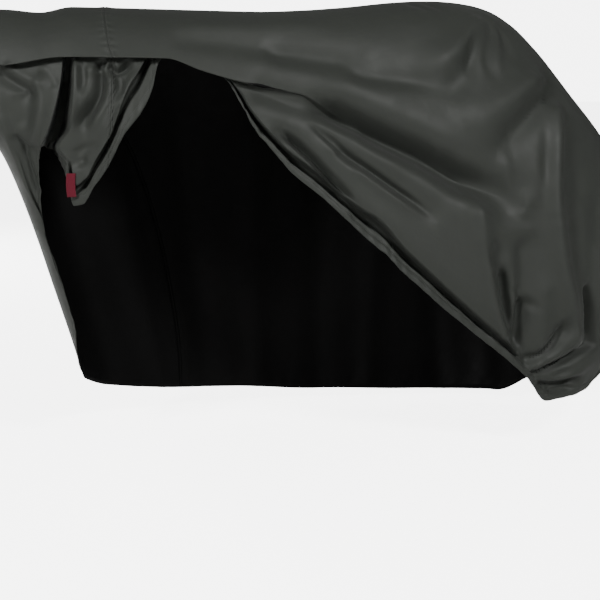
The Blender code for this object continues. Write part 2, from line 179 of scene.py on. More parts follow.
# Along the groove: x at the band's edge, its height above the hem, its width, share of its depth
GROOVE = (
    (-0.860, 0.034, 0.016, 0.0),
    (-0.586, 0.030, 0.016, 0.0),
    (-0.562, 0.028, 0.022, 0.6),
    (-0.545, 0.034, 0.030, 1.0),
    (-0.500, 0.042, 0.036, 1.0),
    (-0.440, 0.060, 0.042, 1.0),
    (-0.410, 0.060, 0.036, 0.9),
    (-0.388, 0.024, 0.014, 0.0),
    (-0.222, 0.020, 0.012, 0.0),
    (-0.186, 0.024, 0.018, 0.8),
    (-0.140, 0.028, 0.022, 1.0),
    (0.030, 0.030, 0.024, 1.0),
    (0.170, 0.034, 0.024, 1.0),
    (0.300, 0.032, 0.023, 1.0),
    (0.420, 0.026, 0.022, 1.0),
    (0.500, 0.022, 0.018, 0.9),
    (0.560, 0.020, 0.012, 0.0),
    (0.980, 0.020, 0.012, 0.0),
)
# Across the groove from its lower side: share of its width, share of its depth
GROOVE_ACROSS = ((0.0, 0.0), (0.14, 0.80), (0.34, 1.0), (0.66, 1.0), (0.86, 0.80), (1.0, 0.0))

# Far side: x at the band's height, hem x, hem height
FAR_HEM = (
    (-SEAM, -SEAM, 0.190),
    (-0.800, -0.520, 0.130),
    (-0.680, -0.430, 0.100),
    (JOIN_X, -0.300, 0.078),
    (-0.200, -0.100, 0.062),
    (0.100, 0.130, 0.042),
    (0.420, 0.400, 0.030),
    (0.720, 0.660, 0.030),
    (0.880, 0.800, 0.110),
    (SEAM, SEAM, 0.225),
)

# Folds of the near side, each a soft ridge (+) or trough (-) along a straight line:
# from x, height, to x, height, half width at each end, depth
NEAR_FOLDS = (
    (-0.15, 0.935, 0.05, 0.872, 0.028, 0.030, -0.010),      # trough that goes on from the band
    (0.13, 0.840, 0.46, 0.672, 0.035, 0.045, -0.014),
    (-0.16, 0.895, 0.16, 0.770, 0.030, 0.040, 0.007),
    (-0.08, 1.028, 0.34, 0.962, 0.045, 0.040, -0.009),      # shadow under the crown
    (0.475, 1.110, 0.28, 0.991, 0.022, 0.045, 0.009),       # fan from the crown's rear end
    (0.455, 1.085, 0.33, 0.940, 0.022, 0.035, -0.008),
    (0.590, 0.966, 0.388, 0.877, 0.025, 0.050, 0.012),      # fan from the rear shoulder
    (0.640, 0.950, 0.460, 0.800, 0.025, 0.040, -0.012),
    (-0.11, 0.838, 0.04, 0.690, 0.018, 0.022, -0.010),      # above the hem of the flap
    (0.08, 0.640, 0.46, 0.300, 0.022, 0.026, -0.012),
    (-0.01, 0.845, 0.26, 0.650, 0.024, 0.030, -0.007),
    (0.620, 0.880, 0.606, 0.640, 0.026, 0.030, 0.015),      # sharp fold down the rear quarter
    (0.608, 0.590, 0.672, 0.300, 0.030, 0.024, 0.016),
    (0.390, 0.640, 0.455, 0.330, 0.030, 0.024, 0.012),      # folds that run to the gathered corner
    (0.515, 0.540, 0.520, 0.270, 0.032, 0.022, -0.018),
    (0.570, 0.430, 0.560, 0.230, 0.036, 0.020, 0.009),
    (0.745, 0.640, 0.730, 0.300, 0.040, 0.030, -0.012),
    (-0.745, 0.880, -0.675, 0.620, 0.022, 0.025, -0.007),   # front drape
    (-0.550, 0.960, -0.575, 0.780, 0.018, 0.018, -0.007),   # middle flap
    (-0.455, 0.980, -0.480, 0.870, 0.016, 0.016, -0.006),
)

# Folds of the far side, hanging from the crown
FAR_FOLDS = (
    (-0.70, 0.92, -0.50, 0.10, 0.040, 0.030, 0.010),
    (-0.52, 0.90, -0.36, 0.09, 0.045, 0.030, -0.009),
    (-0.30, 0.98, -0.22, 0.08, 0.050, 0.035, 0.009),
    (-0.08, 0.80, -0.06, 0.07, 0.050, 0.035, -0.008),
    (0.14, 1.00, 0.12, 0.06, 0.050, 0.035, 0.009),
    (0.32, 0.85, 0.28, 0.05, 0.045, 0.030, -0.009),
    (0.47, 1.02, 0.50, 0.05, 0.040, 0.035, 0.011),
    (0.66, 0.80, 0.64, 0.05, 0.045, 0.035, -0.010),
    (0.82, 0.70, 0.76, 0.10, 0.040, 0.030, 0.010),
)

# Creases of the near side that only the cloth drawn here has, each along a curve:
# kind, depth (+ stands out), half width at its start and at its end, points of x and height
ROUND, SHARP, EDGE = "round", "sharp", "edge"
REAR_QUARTER_CREASES = (
    # the sharp ridge down the rear quarter, and the troughs behind it
    (EDGE, 0.012, 0.030, 0.034, (
        (0.648, 0.945), (0.636, 0.905), (0.605, 0.790), (0.597, 0.663), (0.603, 0.577),
        (0.614, 0.489), (0.630, 0.437), (0.658, 0.330), (0.684, 0.262))),
    (ROUND, -0.005, 0.010, 0.013, ((0.680, 0.950), (0.645, 0.820), (0.622, 0.712), (0.626, 0.600))),
    (ROUND, -0.008, 0.030, 0.034, ((0.690, 0.760), (0.668, 0.655), (0.664, 0.511), (0.684, 0.400))),
    (ROUND, -0.036, 0.011, 0.011, (
        (0.706, 0.450), (0.711, 0.415), (0.719, 0.374), (0.726, 0.305), (0.740, 0.262))),
    (ROUND, 0.010, 0.020, 0.018, ((0.745, 0.560), (0.752, 0.430), (0.762, 0.320))),
    # the ridge that runs to the gathered corner, with the dark pockets behind it
    (EDGE, 0.020, 0.030, 0.020, (
        (0.378, 0.720), (0.381, 0.657), (0.387, 0.575), (0.401, 0.515), (0.414, 0.445),
        (0.433, 0.379), (0.472, 0.284), (0.500, 0.240))),
    (ROUND, -0.020, 0.028, 0.016, ((0.425, 0.580), (0.438, 0.499), (0.452, 0.420), (0.474, 0.310))),
    (ROUND, -0.032, 0.012, 0.013, (
        (0.452, 0.510), (0.460, 0.462), (0.467, 0.416), (0.476, 0.363), (0.490, 0.290))),
    (ROUND, -0.032, 0.015, 0.013, ((0.514, 0.425), (0.512, 0.380), (0.505, 0.331), (0.488, 0.268))),
    (ROUND, -0.007, 0.012, 0.012, ((0.480, 0.450), (0.500, 0.430), (0.539, 0.400), (0.570, 0.385))),
    (ROUND, 0.003, 0.020, 0.020, ((0.535, 0.440), (0.536, 0.360), (0.520, 0.290))),
    # gathers that fan out to the rear from that corner
    (ROUND, -0.030, 0.014, 0.018, (
        (0.512, 0.232), (0.536, 0.249), (0.598, 0.283), (0.636, 0.327), (0.655, 0.370))),
    (SHARP, 0.010, 0.010, 0.016, ((0.522, 0.228), (0.570, 0.247), (0.632, 0.283), (0.690, 0.340))),
    (ROUND, -0.034, 0.009, 0.013, (
        (0.520, 0.216), (0.559, 0.219), (0.630, 0.234), (0.702, 0.267), (0.765, 0.285))),
    (SHARP, 0.006, 0.008, 0.010, ((0.530, 0.206), (0.575, 0.209), (0.630, 0.220), (0.690, 0.242))),
    (ROUND, -0.016, 0.009, 0.010, ((0.535, 0.198), (0.575, 0.198), (0.630, 0.206), (0.680, 0.222))),
    (SHARP, 0.009, 0.008, 0.013, ((0.545, 0.192), (0.610, 0.192), (0.680, 0.203), (0.750, 0.235))),
    (ROUND, -0.030, 0.009, 0.010, ((0.555, 0.184), (0.585, 0.179), (0.649, 0.178), (0.712, 0.186))),
    (ROUND, -0.016, 0.008, 0.008, ((0.596, 0.164), (0.630, 0.160), (0.694, 0.162))),
)
FLAP_CREASES = (
    # creases along the flap
    (ROUND, -0.018, 0.008, 0.009, (
        (-0.040, 0.862), (-0.003, 0.835), (0.043, 0.794), (0.142, 0.723), (0.255, 0.643),
        (0.285, 0.618))),
    (SHARP, 0.007, 0.008, 0.009, ((-0.010, 0.815), (0.035, 0.776), (0.135, 0.703), (0.250, 0.622))),
    (ROUND, -0.010, 0.012, 0.011, ((0.020, 0.795), (0.052, 0.772), (0.085, 0.745))),
    (ROUND, -0.026, 0.009, 0.010, (
        (-0.112, 0.850), (-0.070, 0.812), (-0.039, 0.783), (0.010, 0.731), (0.062, 0.676),
        (0.095, 0.642))),
    (ROUND, 0.007, 0.006, 0.006, (
        (-0.106, 0.826), (-0.070, 0.793), (-0.039, 0.763), (0.022, 0.700))),
    # the deep trough that goes on from the band, and its soft upper roll
    (ROUND, -0.056, 0.021, 0.036, (
        (-0.060, 0.920), (0.000, 0.898), (0.067, 0.866), (0.162, 0.815), (0.228, 0.786),
        (0.285, 0.758), (0.331, 0.728), (0.390, 0.706), (0.450, 0.684), (0.510, 0.655))),
    (ROUND, 0.009, 0.040, 0.050, ((-0.020, 0.970), (0.120, 0.915), (0.260, 0.850), (0.400, 0.775))),
    (SHARP, 0.006, 0.009, 0.010, ((0.268, 0.815), (0.280, 0.795), (0.291, 0.775), (0.302, 0.750))),
    (ROUND, 0.006, 0.022, 0.020, ((0.395, 0.640), (0.460, 0.600), (0.520, 0.585), (0.570, 0.600))),
    # a small bright chevron low on the flap
    (SHARP, 0.005, 0.012, 0.012, ((0.520, 0.690), (0.518, 0.661), (0.513, 0.635), (0.508, 0.610))),
    (SHARP, 0.004, 0.012, 0.012, ((0.556, 0.684), (0.535, 0.664), (0.520, 0.640))),
)
CROWN_CREASES = (
    # long soft streaks under the crown
    (ROUND, 0.006, 0.018, 0.020, (
        (-0.360, 1.088), (-0.189, 1.088), (-0.036, 1.095), (0.080, 1.098))),
    (ROUND, -0.007, 0.024, 0.024, ((-0.380, 1.062), (-0.197, 1.043), (-0.064, 1.026))),
    (ROUND, -0.010, 0.022, 0.026, (
        (-0.150, 1.036), (-0.064, 1.024), (0.023, 1.012), (0.110, 0.996))),
    (ROUND, -0.010, 0.017, 0.022, (
        (0.050, 0.985), (0.119, 0.969), (0.195, 0.963), (0.270, 0.955), (0.320, 0.948))),
    (ROUND, 0.004, 0.028, 0.030, (
        (-0.230, 1.000), (-0.080, 0.985), (0.060, 0.950), (0.180, 0.925))),
    # the fan from the crown's rear end
    (EDGE, 0.014, 0.024, 0.050, (
        (0.470, 1.112), (0.432, 1.094), (0.372, 1.048), (0.317, 1.007), (0.262, 0.972))),
    (ROUND, -0.011, 0.011, 0.015, (
        (0.462, 1.100), (0.412, 1.066), (0.392, 1.035), (0.382, 1.000), (0.376, 0.960))),
    (ROUND, 0.006, 0.011, 0.013, ((0.468, 1.098), (0.437, 1.062), (0.417, 1.020), (0.404, 0.975))),
    (ROUND, -0.007, 0.011, 0.014, ((0.478, 1.098), (0.455, 1.052), (0.438, 1.005), (0.430, 0.960))),
    (ROUND, 0.006, 0.011, 0.015, ((0.490, 1.100), (0.477, 1.055), (0.465, 1.009), (0.458, 0.965))),
    (ROUND, -0.007, 0.009, 0.016, ((0.500, 1.095), (0.505, 1.050), (0.505, 1.005))),
    (SHARP, -0.004, 0.007, 0.008, ((0.250, 1.160), (0.290, 1.146), (0.325, 1.128))),
    (SHARP, -0.004, 0.007, 0.008, ((0.300, 1.162), (0.332, 1.145), (0.360, 1.125))),
    # the fan from the rear shoulder
    (EDGE, 0.014, 0.030, 0.075, (
        (0.588, 0.978), (0.560, 0.958), (0.525, 0.930), (0.474, 0.890), (0.410, 0.840),
        (0.360, 0.800))),
    (ROUND, -0.009, 0.018, 0.018, ((0.592, 0.940), (0.566, 0.900), (0.510, 0.853), (0.440, 0.800))),
    (SHARP, 0.007, 0.020, 0.020, (
        (0.598, 0.970), (0.584, 0.905), (0.562, 0.800), (0.549, 0.714), (0.548, 0.640))),
    (ROUND, -0.007, 0.018, 0.018, ((0.620, 0.950), (0.597, 0.860), (0.580, 0.770), (0.573, 0.680))),
    (ROUND, 0.006, 0.018, 0.016, ((0.468, 0.800), (0.464, 0.741), (0.480, 0.690), (0.500, 0.650))),
)
FRONT_CREASES = (
    # front drape
    (ROUND, -0.017, 0.012, 0.012, (
        (-0.770, 0.990), (-0.753, 0.972), (-0.722, 0.952), (-0.694, 0.936), (-0.682, 0.905))),
    (SHARP, 0.007, 0.008, 0.008, (
        (-0.750, 1.000), (-0.727, 0.988), (-0.689, 0.961), (-0.645, 0.940))),
    (ROUND, -0.010, 0.022, 0.018, ((-0.712, 0.935), (-0.703, 0.905), (-0.705, 0.840))),
    (ROUND, 0.011, 0.016, 0.016, (
        (-0.664, 0.990), (-0.660, 0.917), (-0.674, 0.848), (-0.690, 0.790))),
    (ROUND, -0.008, 0.007, 0.007, ((-0.660, 0.998), (-0.640, 0.967), (-0.622, 0.940))),
    (ROUND, -0.014, 0.007, 0.007, (
        (-0.738, 0.832), (-0.725, 0.818), (-0.698, 0.800), (-0.668, 0.797))),
    (SHARP, 0.013, 0.013, 0.013, (
        (-0.765, 0.910), (-0.753, 0.871), (-0.734, 0.803), (-0.705, 0.713), (-0.674, 0.625))),
    (ROUND, -0.010, 0.010, 0.012, ((-0.722, 0.820), (-0.690, 0.720), (-0.672, 0.660))),
    # middle flap: its bright left fold, the trough beside it and the folds that fan from the band
    (SHARP, 0.015, 0.009, 0.013, (
        (-0.579, 1.020), (-0.580, 0.950), (-0.583, 0.915), (-0.590, 0.876), (-0.600, 0.830))),
    (ROUND, -0.008, 0.008, 0.010, ((-0.564, 1.005), (-0.564, 0.960), (-0.570, 0.925))),
    (ROUND, 0.010, 0.011, 0.012, (
        (-0.545, 1.005), (-0.549, 0.965), (-0.560, 0.925), (-0.576, 0.885))),
    (ROUND, -0.022, 0.009, 0.013, (
        (-0.523, 1.003), (-0.524, 0.965), (-0.528, 0.932), (-0.545, 0.898), (-0.572, 0.863),
        (-0.584, 0.834))),
    (ROUND, 0.011, 0.012, 0.016, (
        (-0.498, 0.985), (-0.505, 0.925), (-0.528, 0.880), (-0.560, 0.835))),
    (ROUND, -0.020, 0.006, 0.007, ((-0.536, 0.988), (-0.524, 0.998), (-0.508, 1.008))),
    (ROUND, -0.022, 0.007, 0.008, (
        (-0.506, 1.003), (-0.498, 0.990), (-0.486, 0.980), (-0.468, 0.991), (-0.446, 1.006))),
    (ROUND, -0.010, 0.008, 0.010, ((-0.484, 0.975), (-0.478, 0.945), (-0.484, 0.910))),
    (ROUND, 0.011, 0.009, 0.014, (
        (-0.438, 0.996), (-0.463, 0.947), (-0.488, 0.906), (-0.514, 0.850), (-0.537, 0.802))),
    # creases across its foot
    (ROUND, -0.008, 0.010, 0.010, (
        (-0.606, 0.778), (-0.580, 0.794), (-0.550, 0.806), (-0.525, 0.812))),
    (ROUND, -0.010, 0.008, 0.009, ((-0.606, 0.764), (-0.590, 0.766), (-0.560, 0.776))),
)
NEAR_CREASES = REAR_QUARTER_CREASES + FLAP_CREASES + CROWN_CREASES + FRONT_CREASES

# The point low on the middle flap's left edge: how far it swings out, its height, half height
LOBE_REACH, LOBE_HEIGHT, LOBE_HALF = 0.026, 0.813, 0.026
# x at the band's edge and share of that swing
LOBE_COLUMNS = ((-0.590, -0.584, -0.576, -0.530), (0.0, 1.0, 1.0, 0.0))

# ---------------------------------------------------------------- hem, join and tag
GATHER_PITCH = 0.019        # mean distance from a gather's ridge to the trough beside it
GATHER_DEPTH = 0.0011       # how far the gathers stand out
GATHER_REACH = 0.045        # how far they run up from the hem
SLOW_PITCH, SLOW_REACH = 3.1, 2.2   # the wide gathers' pitch and reach, in small gathers
CHANNEL_SWELL = 0.0018      # the doubled cloth and elastic in the hem channel
CHANNEL_EDGE = 0.0025       # softness of the channel's upper edge
STITCH_SINK = 0.0012        # how far a row of stitches pulls the cloth in
STITCH_TROUGH = 0.004       # half width of the trough that it pulls
STITCH_PITCH = 1.35         # from the start of a stitch to that of the next, in lengths of one
STITCH_RISE = (0.1, 1.0, 0.1)   # height of a stitch along its length, in widths of the thread
STITCH_ROOT = 1e-4          # how deep a stitch is set into the cloth
FELL_HALF = 0.009           # half the width of the felled join
FELL_RISE = 0.0010          # how far its layers stand out
FELL_EDGE = 0.0015          # softness of its edges
PUCKER_PITCH = 0.010        # mean distance from a pucker's ridge to the trough beside it
PUCKER_DEPTH = 0.0012       # how far the puckers stand out
PUCKER_REACH = 0.009        # how far the puckers run to either side of a row of stitches
STITCH_COLUMNS = 2          # columns of faces from a seam to the stitches beside it
# least and greatest share of that distance, and of the depth, in any one gather or pucker
UNEVEN_PITCH, UNEVEN_SIZE = (0.55, 1.45), (0.35, 1.0)
NEAR_SEED, FAR_SEED = 7, 23     # where the random gathers of each side start
PUCKER_SEED = 4             # what the puckers of its join add to that
TAPE_WIDTH = 0.008          # the tape along the inside of a seam
TAPE_THICK = 0.0008         # its thickness
TAPE_STEP = 0.001           # shortest way from one of its rings to the next
TAG_SHARE = 0.80            # width of the tag, as a share of its packed box
TAG_BOW = 0.002             # how far it bows forward
TAG_THICK = 0.34            # thickness of its webbing, as a share of the box's depth

# ---------------------------------------------------------------- resolution
NEAR_COLUMN = 0.0080        # greatest width of a column of faces on the near side
FAR_COLUMN = 0.012          # and on the far side
LEAST_STEPS = 2             # columns from one row of a hem table to the next, at least
CROWN_ROWS = 62             # rows from the crown to the band's edge
TUCK_ROWS = 9               # rows in the layer that is turned up under the band
FLAP_ROWS = 78              # rows from the tuck to the hem band
HEM_ROWS = 9                # rows in the hem band
FAR_ROWS = 110              # rows from the crown to the far hem
TAG_ROWS, TAG_COLUMNS = 40, 14      # rows round the tag's loop, and columns across it
BODY_SAMPLES = 2001         # heights at which the body's outlines are looked up
CREASE_STEPS = 14           # points on the curve of a crease
CREASE_REACH = 3.2          # how far a crease is felt, in half widths
CREASE_START, CREASE_END = 0.18, 0.30   # shares of its length in which it rises and dies out
SHARP_CORE = 0.5            # roundness of a sharp crease, as a share of its half width
EDGE_CORE = 0.18            # and of a broad fold with a sharp edge

# ---------------------------------------------------------------- looks and studio
# name, place, size of the disk, watts, point it is aimed at
STUDIO_LIGHTS = (
    ("overhead", (-0.6, -1.6, 3.4), 1.6, 2.0, (0.0, 0.0, -0.3)),
    ("left", (-3.7, -3.3, 1.7), 0.8, 290.0, (-0.3, -0.3, -0.3)),
    ("front", (1.6, -3.8, 2.2), 0.9, 245.0, (0.3, 0.0, -0.3)),
    ("back", (-2.6, 4.2, 0.3), 1.2, 210.0, (0.0, 0.0, -0.5)),
)
WORLD_STRENGTH = 0.08       # of the light that the air gives
FLOOR_GLOW = 5.0            # of the floor's own white
FLOOR_REACH = 60.0          # half the length of the floor
BACKDROP_STRENGTH = 6.0     # of the white that the camera sees behind the cover
CRUMPLE_SIZE = 0.040        # distance across the crumples of the coating
CLOUD_SIZE = 0.30           # and across the clouds in its colour
TWIST_SIZE = 0.004          # and across the specks along a twisted thread
THREAD_PITCH = 0.0016       # distance from one drawn thread of the weave to the next
RIB_PITCH = 0.0022          # and from one rib of the webbing to the next
BANDS_PER_METRE = math.tau / 20     # scale of a wave texture with bands one metre apart

MATERIAL_NAMES = {
    "outside": "coated_polyester_taffeta",
    # the inside is a black coating, drawn far darker than its own black as painted shade in the
    # hollow of the cover
    "inside": "black_coating_and_painted_shade",
    "thread": "black_bonded_thread",
    "webbing": "crimson_webbing",
}


# ---------------------------------------------------------------- curves
def smooth(points, column, at):
    """Value of a table's column at the given places of its first one, with no overshoot."""
    table = np.asarray(points, float)
    place, value = table[:, 0], table[:, column]
    return monotone(place, value, at)


def monotone(place, value, at):
    """Smooth curve through points that never swings past them (Fritsch and Carlson)."""
    step = np.diff(place)
    slope = np.diff(value) / step
    tangent = np.zeros(len(value))
    tangent[0], tangent[-1] = slope[0], slope[-1]
    for i in range(1, len(value) - 1):
        if slope[i - 1] * slope[i] > 0:
            before, after = 2 * step[i] + step[i - 1], step[i] + 2 * step[i - 1]
            tangent[i] = (before + after) / (before / slope[i - 1] + after / slope[i])
    at = np.clip(at, place[0], place[-1])
    i = np.clip(np.searchsorted(place, at, side="right") - 1, 0, len(step) - 1)
    s = (at - place[i]) / step[i]
    start = (1 + 2 * s) * (1 - s) ** 2 * value[i] + s * (1 - s) ** 2 * step[i] * tangent[i]
    end = s * s * (3 - 2 * s) * value[i + 1] + s * s * (s - 1) * step[i] * tangent[i + 1]
    return start + end


ORIGIN_HEIGHT = float(smooth(CROWN_LINE, 1, 0.0)) - CLOTH       # underside of the crown

BODY_TABLE = np.array(BODY)
BODY_STEP = np.linspace(0.0, 1.0, len(BODY))
FINE_STEP = np.linspace(0.0, 1.0, BODY_SAMPLES)
FINE_HEIGHT = monotone(BODY_STEP, BODY_TABLE[:, 0], FINE_STEP)


def body_outline(height):
    """Middle, half length and half width of the body at a height."""
    step = np.interp(-np.asarray(height, float), -FINE_HEIGHT, FINE_STEP)
    front, rear, half = (monotone(BODY_STEP, BODY_TABLE[:, k], step) for k in (1, 2, 3))
    return (front + rear) / 2, (rear - front) / 2, half


def crown_scale(x):
    """The crown's height at x as a share of its height over the middle."""
    return smooth(CROWN_LINE, 1, x) / CROWN_HEIGHT


def turn_on_level(x, level):
    """Angle round the plan, 0 at the front seam and pi at the rear one, for a place in x."""
    middle, half_length, _ = body_outline(level)
    share = np.clip((x - middle) / half_length, -1.0, 1.0)
    return np.arccos(-np.sign(share) * np.abs(share) ** (PLAN_POWER / 2))


def turn_at(x, height):
    """The same angle for a height above the ground, where the crown line rises and falls."""
    return turn_on_level(x, height / crown_scale(x))


def body_point(turn, height, side):
    """Point of the body's skin, side -1 for the near half and +1 for the far half."""
    level = np.minimum(height, CROWN_HEIGHT)
    middle, half_length, half_width = body_outline(level)
    cosine, sine = np.cos(turn), np.clip(np.sin(turn), 0.0, 1.0)
    x = middle - half_length * np.sign(cosine) * np.abs(cosine) ** (2 / PLAN_POWER)
    y = side * half_width * sine ** (2 / PLAN_POWER)
    return np.stack([x, y, level * crown_scale(x)], axis=-1)


def fold_depth(folds, x, height):
    """Sum of the soft ridges and troughs at a place on the side."""
    depth = np.zeros_like(x)
    for x0, h0, x1, h1, width0, width1, size in folds:
        run = np.hypot(x1 - x0, h1 - h0)
        along = ((x - x0) * (x1 - x0) + (height - h0) * (h1 - h0)) / run**2
        across = ((x - x0) * (h1 - h0) - (height - h0) * (x1 - x0)) / run
        width = width0 + (width1 - width0) * np.clip(along, 0.0, 1.0)
        past = (along - np.clip(along, 0.0, 1.0)) * run
        depth += size * np.exp(-((across / width) ** 2) - (past / width) ** 2)
    return depth


def run_along(line):
    """Distance from the start of a line of points to each of them."""
    return np.concatenate([[0.0], np.cumsum(np.linalg.norm(np.diff(line, axis=0), axis=1))])


def curve_through(points, steps):
    """Points along a smooth curve through the given ones, with their share of its length."""
    points = np.asarray(points, float)
    run = run_along(points)
    at = np.linspace(0.0, run[-1], steps)
    return np.stack([monotone(run, points[:, k], at) for k in (0, 1)], axis=1), at / run[-1]


def crease_depth(creases, x, height):
    """Sum of the curved creases at a place on the side; each one dies out towards its ends."""
    depth = np.zeros_like(x)
    for kind, size, width0, width1, points in creases:
        line, share = curve_through(points, CREASE_STEPS)
        reach = CREASE_REACH * max(width0, width1)
        near = (x > line[:, 0].min() - reach) & (x < line[:, 0].max() + reach)
        near &= (height > line[:, 1].min() - reach) & (height < line[:, 1].max() + reach)
        here = np.stack([x[near], height[near]], axis=-1)
        best = np.full(len(here), np.inf)
        along = np.zeros(len(here))
        for a, b, first, last in zip(line[:-1], line[1:], share[:-1], share[1:]):
            way = b - a
            part = np.clip((here - a) @ way / (way @ way), 0.0, 1.0)
            off = here - a - part[:, None] * way
            distance = np.linalg.norm(off, axis=1)
            closer = distance < best
            best = np.where(closer, distance, best)
            along = np.where(closer, first + part * (last - first), along)
        width = width0 + (width1 - width0) * along
        away = best / width
        ends = np.clip(along / CREASE_START, 0.0, 1.0)
        ends = ends * np.clip((1 - along) / CREASE_END, 0.0, 1.0)
        ends = ends * ends * (3 - 2 * ends)
        if kind == ROUND:
            profile = np.exp(-(away**2))
        else:
            core = SHARP_CORE if kind == SHARP else EDGE_CORE
            profile = np.exp(core - np.sqrt(away**2 + core**2))
        depth[near] += size * ends * profile
    return depth


# ---------------------------------------------------------------- sheets
def body_normal(turn, height, side):
    """Outward direction of the body's skin, level across the seams so that both sides agree."""
    small, off_seam = 1e-3, 0.03        # steps in turn and height, and least turn from a seam
    on_seam = (turn <= 0.0) | (turn >= np.pi) | (height >= CROWN_HEIGHT)
    turn = np.clip(turn, off_seam, np.pi - off_seam)
    height = np.minimum(height, CROWN_HEIGHT - 2 * small)
    along = body_point(turn + small, height, side) - body_point(turn - small, height, side)
    up = body_point(turn, height + small, side) - body_point(turn, height - small, side)
    normal = np.cross(along, up) * -side
    normal[..., 1] = np.where(on_seam, 0.0, normal[..., 1])
    return normal / np.linalg.norm(normal, axis=-1, keepdims=True)


def column_places(table, make_skin, widest):
    """Places along a hem table, so close that no column of faces is wider than asked."""
    coarse = make_skin(np.arange(len(table), dtype=float))
    width = np.linalg.norm(np.diff(coarse, axis=1), axis=-1).max(axis=0)
    steps = np.maximum(LEAST_STEPS, np.ceil(width / widest)).astype(int)
    places = [row + i / count for row, count in enumerate(steps) for i in range(count)]
    return np.array(places + [len(table) - 1])


def read_columns(rows, places):
    """Values given for each row of a hem table, read at the given places along it."""
    return [monotone(np.arange(len(row), dtype=float), row, places) for row in rows]


def crown_heights(lowest, rows):
    """Shares of the way and heights, from the crown down to a lowest one."""
    fall = lowest - CROWN_HEIGHT
    return [(i / rows, CROWN_HEIGHT + fall * crown_drop(i / rows)) for i in range(rows + 1)]


def crown_drop(share):
    """Share of the height lost at a share of the way, slow at first over the round crown."""
    return share * share * (1 + CROWN_ROUND - CROWN_ROUND * share)


def top_x(band_x):
    """Where the column that crosses the band's edge at band_x starts on the crown."""
    return np.interp(band_x, *TOP_X)


def on_own_side(points, side):
    """Keeps the points of a side half a seam's gap clear of the centre."""
    points[..., 1] = side * np.maximum(side * points[..., 1], SEAM_GAP / 2)
    return points


def cloth_lengths(points):
    """Distances in metres along a grid's rows and down its columns, for patterns on the cloth."""
    across = np.linalg.norm(np.diff(points, axis=1), axis=-1)
    down = np.linalg.norm(np.diff(points, axis=0), axis=-1)
    across = np.concatenate([np.zeros((points.shape[0], 1)), np.cumsum(across, axis=1)], axis=1)
    down = np.concatenate([np.zeros((1, points.shape[1])), np.cumsum(down, axis=0)], axis=0)
    return across, down


def grid_normals(points, side):
    """Outward directions over a grid of points, level where the sheet meets the centre."""
    normal = np.cross(np.gradient(points, axis=1), np.gradient(points, axis=0)) * side
    at_centre = np.abs(points[..., 1]) <= SEAM_GAP
    normal[..., 1] = np.where(at_centre, 0.0, normal[..., 1])
    normal /= np.maximum(np.linalg.norm(normal, axis=-1, keepdims=True), 1e-12)
    # where the columns run together at the crown's two ends, the way out is up
    missing = np.linalg.norm(normal, axis=-1) < 0.5
    normal[missing] = (0.0, 0.0, 1.0)
    return normal


def irregular_wave(distance, pitch, seed):
    """A wave along a seam whose ridges and troughs are unevenly spaced and unevenly deep."""
    draw = np.random.default_rng(seed)
    count = int(np.ceil(distance.max() / pitch)) + 4
    extremes = np.cumsum(pitch * draw.uniform(*UNEVEN_PITCH, count)) - pitch
    phase = np.interp(distance, extremes, np.arange(count) * np.pi)
    size = np.interp(distance, extremes, draw.uniform(*UNEVEN_SIZE, count))
    return np.cos(phase) * size


def blurred(grid):
    """A grid of depths with each shared a little with its neighbours, so no narrow crease steps."""
    for axis in (0, 1):
        lines = np.swapaxes(grid, 0, axis)
        padded = np.concatenate([lines[:1], lines, lines[-1:]])
        grid = np.swapaxes((padded[:-2] + 2 * padded[1:-1] + padded[2:]) / 4, 0, axis)
    return grid


def skin(rows, folds, creases, side):
    """Points of a draped sheet from rows of (turn, height, distance inward, share of folds)."""
    turn, height, inward, shown = (
        np.array([np.broadcast_to(row[k], rows[0][0].shape) for row in rows]) for k in range(4)
    )
    points = body_point(turn, height, side)
    off_seam = np.clip(np.sin(turn) / FLAT_AT_SEAM, 0.0, 1.0)
    depth = fold_depth(folds, points[..., 0], points[..., 2])
    depth += blurred(crease_depth(creases, points[..., 0], points[..., 2]))
    depth *= shown * off_seam
    points += body_normal(turn, height, side) * depth[..., None]
    points[..., 1] -= side * inward
    points[..., 2] -= ORIGIN_HEIGHT
    return on_own_side(points, side)


